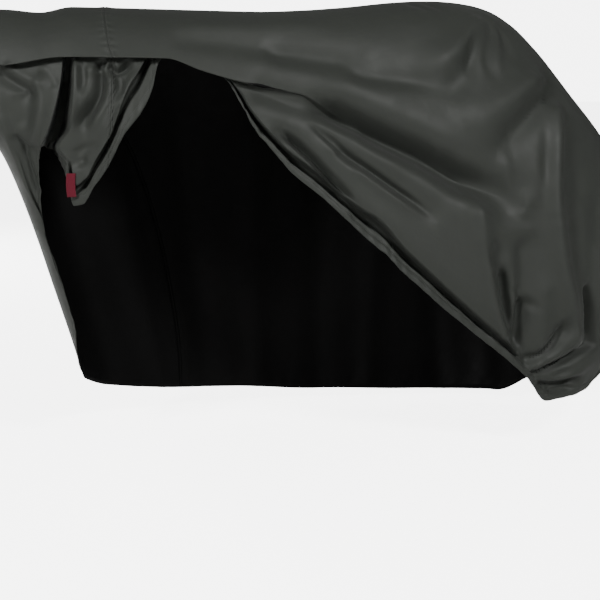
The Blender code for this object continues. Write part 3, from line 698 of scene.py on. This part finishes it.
def near_skin(places):
    """The near side: crown, band, tuck and the lower cloth down to the lifted hem."""
    band_x, hem_x, hem_height, pleat = np.array(NEAR_HEM).T
    start, band, end, band_x, hem_x, hem_height, pleat = read_columns(
        (
            turn_on_level(top_x(band_x), CROWN_HEIGHT),
            turn_at(band_x, smooth(BAND_EDGE, 1, band_x)),
            turn_at(hem_x, hem_height),
            np.clip(band_x, *BODY_ENDS),
            np.clip(hem_x, *BODY_ENDS),
            hem_height,
            pleat,
        ),
        places,
    )
    band_height = smooth(BAND_EDGE, 1, band_x)
    tuck = TUCK * smooth(TUCK_SHARE, 1, band_x)
    step = BAND_STEP * smooth(STEP_SHARE, 1, band_x)
    scale = crown_scale(band_x)
    rows = []
    for share, height in crown_heights(band_height / scale, CROWN_ROWS):
        rows.append((start + (band - start) * share, height, 0.0, 1.0))
    straight = 1 - np.clip(tuck / TUCK, 0.0, 1.0)
    for share in np.arange(1, TUCK_ROWS + 1) / TUCK_ROWS:
        rise = (1 - np.cos(np.pi * share)) / 2
        rise = np.where(tuck > 0, rise, share)
        rows.append((band, (band_height + tuck * rise) / scale, step * TURNED_UP * share, straight))
    top = band_height + tuck
    length = top - hem_height
    plumb = np.interp(band_x, *PLUMB)
    groove_foot, groove_width, grooved = (smooth(GROOVE, k, band_x) for k in (1, 2, 3))
    foot, head = groove_foot / length, (groove_foot + groove_width) / length
    shares = [(1 - head) * i / FLAP_ROWS for i in range(1, FLAP_ROWS + 1)]
    deeps = [np.exp((share - 1 + head) * length / LIP_REACH) for share in shares]
    deeps = [-GROOVE_LIP / GROOVE_DEPTH * lip for lip in deeps]
    for across, deep in GROOVE_ACROSS[-2:0:-1]:
        shares.append(1 - foot - (head - foot) * across)
        deeps.append(deep)
    shares += [1 - foot * (1 - i / HEM_ROWS) for i in range(HEM_ROWS + 1)]
    deeps += [0.0] * (HEM_ROWS + 1)
    for share, groove in zip(shares, deeps):
        run = share * length
        sink = step * np.interp(run, (0.0, STEP_RUN), (TURNED_UP, 1.0))
        deep = PLEAT_DEPTH * pleat * np.clip(run / PLEAT_RUN, 0.0, 1.0) ** PLEAT_POWER
        level = (top - run) / scale
        turn = band + (end - band) * share * share * (3 - 2 * share)
        swing = LOBE_REACH * np.exp(-(((top - run - LOBE_HEIGHT) / LOBE_HALF) ** 2))
        swing = swing * np.interp(band_x, *LOBE_COLUMNS)
        hanging = turn_on_level(band_x + (hem_x - band_x) * share * share - swing, level)
        deep = deep + GROOVE_DEPTH * grooved * groove
        rows.append((turn + (hanging - turn) * plumb, level, sink + deep, 1.0))
    return skin(rows, NEAR_FOLDS, NEAR_CREASES, -1)


def far_skin(places):
    """The far side, which hangs from the crown to the ground."""
    band_x, hem_x, hem_height = np.array(FAR_HEM).T
    start, end, hem_height = read_columns(
        (turn_on_level(top_x(band_x), CROWN_HEIGHT), turn_at(hem_x, hem_height), hem_height), places
    )
    rows = []
    for share, height in crown_heights(hem_height, FAR_ROWS):
        rows.append((start + (end - start) * share, height, 0.0, 1.0))
    return skin(rows, FAR_FOLDS, (), 1)


def lifted(points, normal, lift):
    """Points moved outward by the given lifts, which die out towards the centre seams."""
    off_seam = np.clip(np.abs(points[..., 1]) / OFF_SEAM, 0.0, 1.0)
    return points + normal * (lift * off_seam)[..., None]


def gathered_hem(points, side, seed):
    """Draws a hem in: its channel stands out a little, and small gathers fan up from it."""
    normal = grid_normals(points, side)
    _, down = cloth_lengths(points)
    above = down[-1] - down                              # distance above the hem's edge
    along = run_along(points[-1])
    wave = irregular_wave(along, GATHER_PITCH, seed)
    slow = irregular_wave(along, SLOW_PITCH * GATHER_PITCH, seed + 1)
    lift = GATHER_DEPTH * wave * np.exp(-((above / GATHER_REACH) ** 2))
    lift += GATHER_DEPTH * slow * np.exp(-((above / (SLOW_REACH * GATHER_REACH)) ** 2))
    lift += CHANNEL_SWELL / (1 + np.exp((above - HEM_BAND) / CHANNEL_EDGE))
    lift -= STITCH_SINK * np.exp(-(((above - HEM_BAND) / STITCH_TROUGH) ** 2))
    return lifted(points, normal, lift)


def puckered_join(points, side, cut, seed):
    """Raises the felled join, with the small puckers that its two rows of stitches pull."""
    across, down = cloth_lengths(points)
    away = np.abs(across - across[:, cut : cut + 1])
    wave = irregular_wave(down[:, cut], PUCKER_PITCH, seed)[:, None]
    lift = FELL_RISE / (1 + np.exp((away - FELL_HALF) / FELL_EDGE))
    lift += PUCKER_DEPTH * wave * np.exp(-(((away - FELL_HALF) / PUCKER_REACH) ** 2))
    return lifted(points, grid_normals(points, side), lift)


# ---------------------------------------------------------------- meshes
def cover_collection():
    """The collection that holds the cover, made once."""
    made = bpy.data.collections.get("bicycle_cover_looks")
    if made is None:
        made = bpy.data.collections.new("bicycle_cover_looks")
        bpy.context.scene.collection.children.link(made)
    return made


def mesh_piece(name, points, faces, uses, lengths=None):
    """A mesh object of the cover, with its distances along the cloth, if any, as a UV map."""
    mesh = bpy.data.meshes.new(name)
    mesh.from_pydata(points.reshape(-1, 3).tolist(), [], faces)
    if lengths is not None:
        layer = mesh.uv_layers.new(name="cloth_metres")
        corners = np.empty(len(mesh.loops), np.int32)
        mesh.loops.foreach_get("vertex_index", corners)
        layer.data.foreach_set("uv", lengths[corners].astype(np.float32).ravel())
    for use in uses:
        mesh.materials.append(material_for(use))
    mesh.shade_smooth()
    piece = bpy.data.objects.new(name, mesh)
    cover_collection().objects.link(piece)
    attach(piece, "root")
    return piece


def grid_faces(grid):
    """A face for each cell of a grid of point numbers."""
    cells = np.stack([grid[:-1, :-1], grid[:-1, 1:], grid[1:, 1:], grid[1:, :-1]], axis=-1)
    return cells.reshape(-1, 4)


def tube_faces(first, rings):
    """Faces of a closed tube from rings of four points each, which follow on from the first."""
    last = first + 4 * (rings - 1)
    faces = [
        (k + j, k + (j + 1) % 4, k + 4 + (j + 1) % 4, k + 4 + j)
        for k in range(first, last, 4)
        for j in range(4)
    ]
    return faces + [(first + 3, first + 2, first + 1, first), (last, last + 1, last + 2, last + 3)]


def cloth_panel(name, outer, inner, side):
    """One panel as a closed loft: outer face, inner face and the cut edge all round."""
    rows, columns = outer.shape[:2]
    out = np.arange(rows * columns).reshape(rows, columns)
    faces = grid_faces(out).tolist() + grid_faces(out + rows * columns)[:, ::-1].tolist()
    cloth_faces = len(faces) // 2
    edge = np.concatenate([out[0, :-1], out[:-1, -1], out[-1, :0:-1], out[:0:-1, 0]])
    for a, b in zip(edge, np.roll(edge, -1)):
        faces.append([int(b), int(a), int(a + rows * columns), int(b + rows * columns)])
    if side < 0:
        faces = [face[::-1] for face in faces]
    lengths = np.stack(cloth_lengths(outer), axis=-1).reshape(-1, 2)
    both, lengths = np.concatenate([outer, inner]), np.concatenate([lengths, lengths])
    panel = mesh_piece(name, both, faces, ("outside", "inside"), lengths)
    slots = np.zeros(len(faces), np.int32)
    slots[cloth_faces : 2 * cloth_faces] = 1
    panel.data.polygons.foreach_set("material_index", slots)
    return panel


def flat_area(points):
    """Area in square metres of a grid of points."""
    a, b = points[1:, 1:] - points[:-1, :-1], points[1:, :-1] - points[:-1, 1:]
    return float(np.linalg.norm(np.cross(a, b), axis=-1).sum() / 2)


def cut_sizes(points):
    """Width and length of the rectangle that a shaped panel is cut from, and its own area."""
    _, down = cloth_lengths(points)
    length, area = float(down[-1].max()), flat_area(points)
    return (round(area / length / CUT_SHARE, 3), round(length, 3)), area


def cloth_side(side_name, side, outer, cut):
    """Cuts a side into its front and main panels, a seam's gap apart."""
    inner = on_own_side(outer - CLOTH * grid_normals(outer, side), side)
    pieces = []
    for node, part, edge, shift in (
        (f"{side_name}_front_panel", np.s_[:, : cut + 1], -1, -SEAM_GAP / 2),
        (f"{side_name}_main_panel", np.s_[:, cut:], 0, SEAM_GAP / 2),
    ):
        faces = [outer[part].copy(), inner[part].copy()]
        for face in faces:
            face[:, edge, 0] += shift
        panel = cloth_panel(f"{node}_cloth", *faces, side)
        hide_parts(node)
        flat, area = cut_sizes(faces[0])
        pieces.append((panel, flat, area))
    return pieces


def stitches(name, line, out):
    """A row of machine stitches: short raised bars of thread along a line on the cloth."""
    sizes = bpy.context.scene.cover_sizes
    length, thick = sizes.stitch_length, sizes.thread_thickness
    pitch = length * STITCH_PITCH
    along = run_along(line)
    starts = np.arange(pitch / 2, max(along[-1] - length, pitch), pitch)
    points, faces = [], []
    for start in starts:
        ends = [
            np.array([np.interp(at, along, line[:, k]) for k in range(3)])
            for at in (start, start + length / 2, start + length)
        ]
        up = np.array([np.interp(start, along, out[:, k]) for k in range(3)])
        up /= np.linalg.norm(up)
        way = ends[2] - ends[0]
        beside = np.cross(way, up)
        beside *= thick / 2 / max(np.linalg.norm(beside), 1e-9)
        faces += tube_faces(len(points), len(ends))
        for at, rise in zip(ends, STITCH_RISE):
            root, top = at - up * STITCH_ROOT, at + up * thick * rise
            points += [root - beside, root + beside, top + beside / 2, top - beside / 2]
    return mesh_piece(name, np.array(points), faces, ["thread"])


def seam_tape(name, line, out):
    """The narrow coated tape that seals a seam on its inside."""
    apart = np.linalg.norm(np.diff(line, axis=0), axis=1) > TAPE_STEP
    kept = np.concatenate([[True], apart])
    line, out = line[kept], out[kept]
    way = np.gradient(line, axis=0)
    beside = np.cross(way, out)
    beside *= TAPE_WIDTH / 2 / np.linalg.norm(beside, axis=1, keepdims=True)
    top = CLOTH + TAPE_THICK / 4
    corners = [
        line + across * beside - deep * out
        for across, deep in ((-1, top), (1, top), (1, top + TAPE_THICK), (-1, top + TAPE_THICK))
    ]
    points, faces = np.stack(corners, axis=1), tube_faces(0, len(line))
    return mesh_piece(name, points, faces, ["inside"])


def drape_side(side_name, side, table, make_skin, widest, seed):
    """Makes one side of the cover: its two panels, their seams, and what they were cut to."""
    places = column_places(table, make_skin, widest)
    cut = list(places).index([row[0] for row in table].index(JOIN_X))
    points = gathered_hem(make_skin(places), side, seed)
    points = on_own_side(puckered_join(points, side, cut, seed + PUCKER_SEED), side)
    panels = cloth_side(side_name, side, points, cut)
    seams = seam_threads(side_name, side, points, cut)


def seam_threads(side_name, side, points, cut):
    """Stitching of a side along its hem channel and join, and the tapes of its seams."""
    normal = grid_normals(points, side)
    _, down = cloth_lengths(points)
    above = down[-1] - down
    rows = np.array([np.abs(above[:, k] - HEM_BAND).argmin() for k in range(points.shape[1])])
    columns = np.arange(points.shape[1])
    hem_line, hem_out = points[rows, columns], normal[rows, columns]
    sewn = []
    for name, part, join in (
        (f"{side_name}_front", np.s_[STITCH_COLUMNS : cut + 1], cut - STITCH_COLUMNS),
        (f"{side_name}_main", np.s_[cut:-STITCH_COLUMNS], cut + STITCH_COLUMNS),
    ):
        hem = stitches(f"{name}_hem_stitching", hem_line[part], hem_out[part])
        sewn.append([hem, stitches(f"{name}_join_stitching", points[1:, join], normal[1:, join])])
    sewn[1].append(seam_tape(f"{side_name}_join_tape", points[1:, cut], normal[1:, cut]))
    if side < 0:
        # the seam that joins the two sides: up the front, over the crown and down the rear
        ends = [np.s_[:0:-1, 0], np.s_[0, :], np.s_[1:, -1]]
        centre, away = (np.concatenate([grid[part] for part in ends]) for grid in (points, normal))
        centre[:, 1] = 0.0
        sewn[1].append(seam_tape("centre_seam_tape", centre, away))
    return sewn


# ---------------------------------------------------------------- materials
def linear(colour):
    """sRGB hex to the linear colour that a shader takes."""
    parts = [int(colour.lstrip("#")[i : i + 2], 16) / 255 for i in (0, 2, 4)]
    parts = [c / 12.92 if c <= 0.04045 else ((c + 0.055) / 1.055) ** 2.4 for c in parts]
    return (*parts, 1.0)


def add_node(tree, kind, settings=None, values=None, links=None):
    """Adds a node with its settings and input values, and links (input, node, output) to it."""
    node = tree.nodes.new(kind)
    for name, value in (settings or {}).items():
        setattr(node, name, value)
    for name, value in (values or {}).items():
        node.inputs[name].default_value = value
    for name, source, output in links or ():
        tree.links.new(source.outputs[output], node.inputs[name])
    return node


def new_surface(name, **values):
    """A material with one Principled shader, and the shader itself."""
    material = bpy.data.materials.new(name)
    material.use_nodes = True
    shader = material.node_tree.nodes["Principled BSDF"]
    for key, value in values.items():
        shader.inputs[key.replace("_", " ")].default_value = value
    return material, shader


def coated_polyester(name, low, high, roughness, sheen, specular):
    """Plain-woven polyester taffeta with a polyurethane coating, dyed in the piece.

    The fine flat weave gives a soft satin gleam on the folds; the coating keeps small creases.
    """
    material, shader = new_surface(
        name,
        Roughness=roughness,
        Sheen_Weight=sheen,
        Sheen_Roughness=0.45,
        Specular_IOR_Level=specular,
    )
    tree = material.node_tree
    metres = add_node(tree, "ShaderNodeUVMap", {"uv_map": "cloth_metres"})
    place = add_node(tree, "ShaderNodeTexCoord")
    # threads are 0.25 mm apart; they are drawn 1.6 mm apart so that a close view shows them
    warp, weft = (
        add_node(
            tree,
            "ShaderNodeTexWave",
            {"wave_type": "BANDS", "bands_direction": direction},
            {"Scale": BANDS_PER_METRE / THREAD_PITCH, "Distortion": 0.6, "Detail": 1.0},
            [("Vector", metres, "UV")],
        )
        for direction in ("X", "Y")
    )
    weave = add_node(
        tree,
        "ShaderNodeMath",
        {"operation": "MULTIPLY"},
        links=[(0, warp, "Fac"), (1, weft, "Fac")],
    )
    # crumples of the coating, and wide faint clouds in its colour
    crumple = add_node(
        tree,
        "ShaderNodeTexNoise",
        values={"Scale": 1 / CRUMPLE_SIZE, "Detail": 5.0, "Roughness": 0.55, "Distortion": 0.4},
        links=[("Vector", place, "Object")],
    )
    cloudy = add_node(
        tree,
        "ShaderNodeTexNoise",
        values={"Scale": 1 / CLOUD_SIZE, "Detail": 2.0, "Roughness": 0.5},
        links=[("Vector", place, "Object")],
    )
    colour = add_node(
        tree,
        "ShaderNodeMix",
        {"data_type": "RGBA"},
        {6: linear(low), 7: linear(high)},
        [(0, cloudy, "Fac")],
    )
    tree.links.new(colour.outputs[2], shader.inputs["Base Color"])
    rough = add_node(
        tree,
        "ShaderNodeMapRange",
        values={
            "From Min": 0.3,
            "From Max": 0.7,
            "To Min": roughness - 0.05,
            "To Max": roughness + 0.06,
        },
        links=[("Value", crumple, "Fac")],
    )
    tree.links.new(rough.outputs["Result"], shader.inputs["Roughness"])
    crumpled = add_node(
        tree,
        "ShaderNodeBump",
        values={"Strength": 0.35, "Distance": 0.003},
        links=[("Height", crumple, "Fac")],
    )
    woven = add_node(
        tree,
        "ShaderNodeBump",
        values={"Strength": 0.12, "Distance": 0.0002},
        links=[("Height", weave, "Value"), ("Normal", crumpled, "Normal")],
    )
    tree.links.new(woven.outputs["Normal"], shader.inputs["Normal"])
    return material


def bonded_thread():
    """Bonded polyester sewing thread: matt, a shade lighter than the cloth it holds."""
    material, shader = new_surface("black_bonded_thread", Roughness=0.6)
    tree = material.node_tree
    place = add_node(tree, "ShaderNodeTexCoord")
    twist = add_node(
        tree,
        "ShaderNodeTexNoise",
        values={"Scale": 1 / TWIST_SIZE, "Detail": 2.0},
        links=[("Vector", place, "Object")],
    )
    colour = add_node(
        tree,
        "ShaderNodeMix",
        {"data_type": "RGBA"},
        {6: linear("#1c1d1b"), 7: linear("#2e2f2d")},
        [(0, twist, "Fac")],
    )
    tree.links.new(colour.outputs[2], shader.inputs["Base Color"])
    return material


def red_webbing():
    """Woven polyester webbing, dyed crimson: matt, with ribs that run across the tape."""
    material, shader = new_surface(
        "crimson_webbing", Roughness=0.75, Specular_IOR_Level=0.12, Sheen_Weight=0.05
    )
    tree = material.node_tree
    place = add_node(tree, "ShaderNodeTexCoord")
    ribs = add_node(
        tree,
        "ShaderNodeTexWave",
        {"wave_type": "BANDS", "bands_direction": "Z"},
        {
            "Scale": BANDS_PER_METRE / RIB_PITCH,
            "Distortion": 0.8,
            "Detail": 2.0,
            "Detail Scale": 2.0,
        },
        [("Vector", place, "Object")],
    )
    colour = add_node(
        tree,
        "ShaderNodeMix",
        {"data_type": "RGBA"},
        {6: linear("#3a0811"), 7: linear("#561222")},
        [(0, ribs, "Fac")],
    )
    tree.links.new(colour.outputs[2], shader.inputs["Base Color"])
    ribbed = add_node(
        tree,
        "ShaderNodeBump",
        values={"Strength": 0.6, "Distance": 0.0005},
        links=[("Height", ribs, "Fac")],
    )
    tree.links.new(ribbed.outputs["Normal"], shader.inputs["Normal"])
    return material


def studio_floor(colour):
    """Matt painted studio floor, even and pale."""
    material, _ = new_surface(
        "pale_studio_paint",
        Roughness=0.9,
        Specular_IOR_Level=0.1,
        Base_Color=linear(colour),
        Emission_Color=(1.0, 1.0, 1.0, 1.0),
        Emission_Strength=FLOOR_GLOW,
    )
    return material


def material_for(use):
    """The material of that use, made once."""
    colours = bpy.context.scene.cover_colours
    made_name = MATERIAL_NAMES[use]
    made = bpy.data.materials.get(made_name)
    if made:
        return made
    if use == "outside":
        shades = (colours.cloth_dark, colours.cloth_light)
        return coated_polyester(made_name, *shades, roughness=0.55, sheen=0.03, specular=0.14)
    if use == "inside":
        # the inner coating's colours: its own black, darkened further as painted shade inside the
        # cover
        shades = (colours.coating_and_shade_dark, colours.coating_and_shade_light)
        return coated_polyester(made_name, *shades, roughness=0.6, sheen=0.0, specular=0.05)
    if use == "thread":
        return bonded_thread()
    return red_webbing()


# ---------------------------------------------------------------- what a user would change
class CoverSizes(bpy.types.PropertyGroup):
    stitch_length: FloatProperty(
        name="Stitch length",
        description="Length of one machine stitch",
        default=0.0032,
        unit="LENGTH",
    )
    thread_thickness: FloatProperty(
        name="Thread thickness",
        description="Width of the sewing thread on the cloth",
        default=0.0009,
        unit="LENGTH",
    )


class CoverColours(bpy.types.PropertyGroup):
    cloth_dark: StringProperty(
        name="Cloth, darker", description="sRGB hex of the cloth's darker clouds", default="#242623"
    )
    cloth_light: StringProperty(
        name="Cloth, lighter", description="sRGB hex of its lighter clouds", default="#2a2c29"
    )
    # colours of the inner coating: a black coating, made darker than any real one as painted shade
    # inside the cover
    coating_and_shade_dark: StringProperty(
        name="Coating, darker", description="sRGB hex of the inner coating", default="#040404"
    )
    coating_and_shade_light: StringProperty(
        name="Coating, lighter", description="sRGB hex of its lighter clouds", default="#0a0a0a"
    )


class StudioSettings(bpy.types.PropertyGroup):
    camera_place: FloatVectorProperty(
        name="Camera place",
        description="Where the camera stands, with its height above the ground",
        default=(-0.638, -3.003, 0.950),
        subtype="XYZ_LENGTH",
    )
    camera_azimuth: FloatProperty(
        name="Camera azimuth",
        description="Turn of the view to the right from straight along Y",
        default=math.radians(12.0),
        subtype="ANGLE",
    )
    camera_tilt: FloatProperty(
        name="Camera tilt",
        description="How far the camera looks down",
        default=math.radians(10.59),
        subtype="ANGLE",
    )
    camera_lens: FloatProperty(
        name="Camera lens", description="Focal length on a 36 mm sensor", default=69.0
    )
    floor_colour: StringProperty(
        name="Floor colour", description="sRGB hex of the studio floor", default="#f4f4f2"
    )


# ---------------------------------------------------------------- operators
class COVER_OT_studio(bpy.types.Operator):
    """Adds the camera, the pale floor, the soft lights and the white air"""

    bl_idname = "cover.studio"
    bl_label = "Studio"

    def execute(self, context):
        settings = context.scene.cover_studio
        ground = -ORIGIN_HEIGHT
        camera = bpy.data.objects.new("camera", bpy.data.cameras.new("camera"))
        camera.data.sensor_width = 36.0
        camera.data.lens = settings.camera_lens
        camera.data.clip_start, camera.data.clip_end = 0.05, 200.0
        place = Vector(settings.camera_place)
        camera.location = place + Vector((0.0, 0.0, ground))
        turn, tilt = settings.camera_azimuth, settings.camera_tilt
        camera.rotation_euler = Euler((math.pi / 2 - tilt, 0.0, -turn))
        context.collection.objects.link(camera)
        context.scene.camera = camera

        mesh = bpy.data.meshes.new("studio_floor")
        corners = [(x, y, ground) for x, y in ((-1, -1), (1, -1), (1, 1), (-1, 1))]
        corners = [(x * FLOOR_REACH, y * FLOOR_REACH, z) for x, y, z in corners]
        mesh.from_pydata(corners, [], [(0, 1, 2, 3)])
        mesh.materials.append(studio_floor(settings.floor_colour))
        floor = bpy.data.objects.new("studio_floor", mesh)
        context.collection.objects.link(floor)
        # the floor's own white shows to the camera and lights nothing but the floor
        itself = bpy.data.collections.new("floor_alone")
        itself.objects.link(floor)
        floor.light_linking.receiver_collection = itself

        for name, where, size, power, aim in STUDIO_LIGHTS:
            lamp = bpy.data.lights.new(name, "AREA")
            lamp.shape, lamp.size, lamp.energy = "DISK", size, power
            light = bpy.data.objects.new(name, lamp)
            light.location = where
            direction = Vector(aim) - Vector(where)
            light.rotation_euler = direction.to_track_quat("-Z", "Y").to_euler()
            context.collection.objects.link(light)

        world = bpy.data.worlds.new("studio_air")
        context.scene.world = world
        world.use_nodes = True
        background = world.node_tree.nodes["Background"]
        background.inputs["Color"].default_value = (1.0, 1.0, 1.0, 1.0)
        background.inputs["Strength"].default_value = WORLD_STRENGTH
        seen = add_node(world.node_tree, "ShaderNodeLightPath")
        strength = add_node(
            world.node_tree,
            "ShaderNodeMapRange",
            values={"To Min": WORLD_STRENGTH, "To Max": BACKDROP_STRENGTH},
            links=[("Value", seen, "Is Camera Ray")],
        )
        world.node_tree.links.new(strength.outputs["Result"], background.inputs["Strength"])
        return {"FINISHED"}


class COVER_OT_near_side(bpy.types.Operator):
    """Drapes the near side: its front and main panels, lifted into a flap, with their seams"""

    bl_idname = "cover.near_side"
    bl_label = "Near side"

    def execute(self, context):
        drape_side("near", -1, NEAR_HEM, near_skin, NEAR_COLUMN, NEAR_SEED)
        return {"FINISHED"}


class COVER_OT_far_side(bpy.types.Operator):
    """Drapes the far side: its front and main panels, which hang to the ground"""

    bl_idname = "cover.far_side"
    bl_label = "Far side"

    def execute(self, context):
        drape_side("far", 1, FAR_HEM, far_skin, FAR_COLUMN, FAR_SEED)
        return {"FINISHED"}


class COVER_OT_tag(bpy.types.Operator):
    """Adds the red webbing tag, a folded loop"""

    bl_idname = "cover.tag"
    bl_label = "Red tag"

    def execute(self, context):
        low, high = (Vector(corner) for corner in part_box("red_tag"))
        middle = (low.x + high.x) / 2
        thick = (high.y - low.y) * TAG_THICK
        points = []
        # down the front layer from its top, and up the back layer again
        for run in np.linspace(0.0, 2.0, TAG_ROWS):
            y = low.y if run <= 1 else high.y - thick
            z = high.z + (low.z - high.z) * (run if run <= 1 else 2 - run)
            bow = TAG_BOW * math.sin(math.pi * (z - low.z) / (high.z - low.z))
            for across in np.linspace(low.x, high.x, TAG_COLUMNS + 1):
                points.append((middle + TAG_SHARE * (across - middle) - bow, y, z))
        faces = grid_faces(np.arange(len(points)).reshape(TAG_ROWS, -1)).tolist()
        tag = mesh_piece("red_tag_webbing", np.array(points), faces, ["webbing"])
        body = tag.modifiers.new("thickness", "SOLIDIFY")
        body.thickness = thick
        body.offset = 1.0
        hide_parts("red_tag")
        return {"FINISHED"}


class COVER_PT_panel(bpy.types.Panel):
    bl_label = "Bicycle cover"
    bl_idname = "COVER_PT_panel"
    bl_space_type = "VIEW_3D"
    bl_region_type = "UI"
    bl_category = "Cover"

    def draw(self, context):
        for group in ("cover_sizes", "cover_colours", "cover_studio"):
            box = self.layout.box()
            settings = getattr(context.scene, group)
            for name in settings.__annotations__:
                box.prop(settings, name)
        for operator in OPERATORS:
            self.layout.operator(operator.bl_idname)


OPERATORS = (COVER_OT_studio, COVER_OT_near_side, COVER_OT_far_side, COVER_OT_tag)
GROUPS = {
    "cover_sizes": CoverSizes,
    "cover_colours": CoverColours,
    "cover_studio": StudioSettings,
}


def register():
    for made in (*GROUPS.values(), *OPERATORS, COVER_PT_panel):
        bpy.utils.register_class(made)
    for name, group in GROUPS.items():
        setattr(bpy.types.Scene, name, PointerProperty(type=group))


def unregister():
    for name in GROUPS:
        delattr(bpy.types.Scene, name)
    for made in reversed((*GROUPS.values(), *OPERATORS, COVER_PT_panel)):
        bpy.utils.unregister_class(made)


def main():
    register()
    bpy.ops.cover.studio()
    bpy.ops.cover.near_side()
    bpy.ops.cover.far_side()
    bpy.ops.cover.tag()


if __name__ == "__main__":
    main()
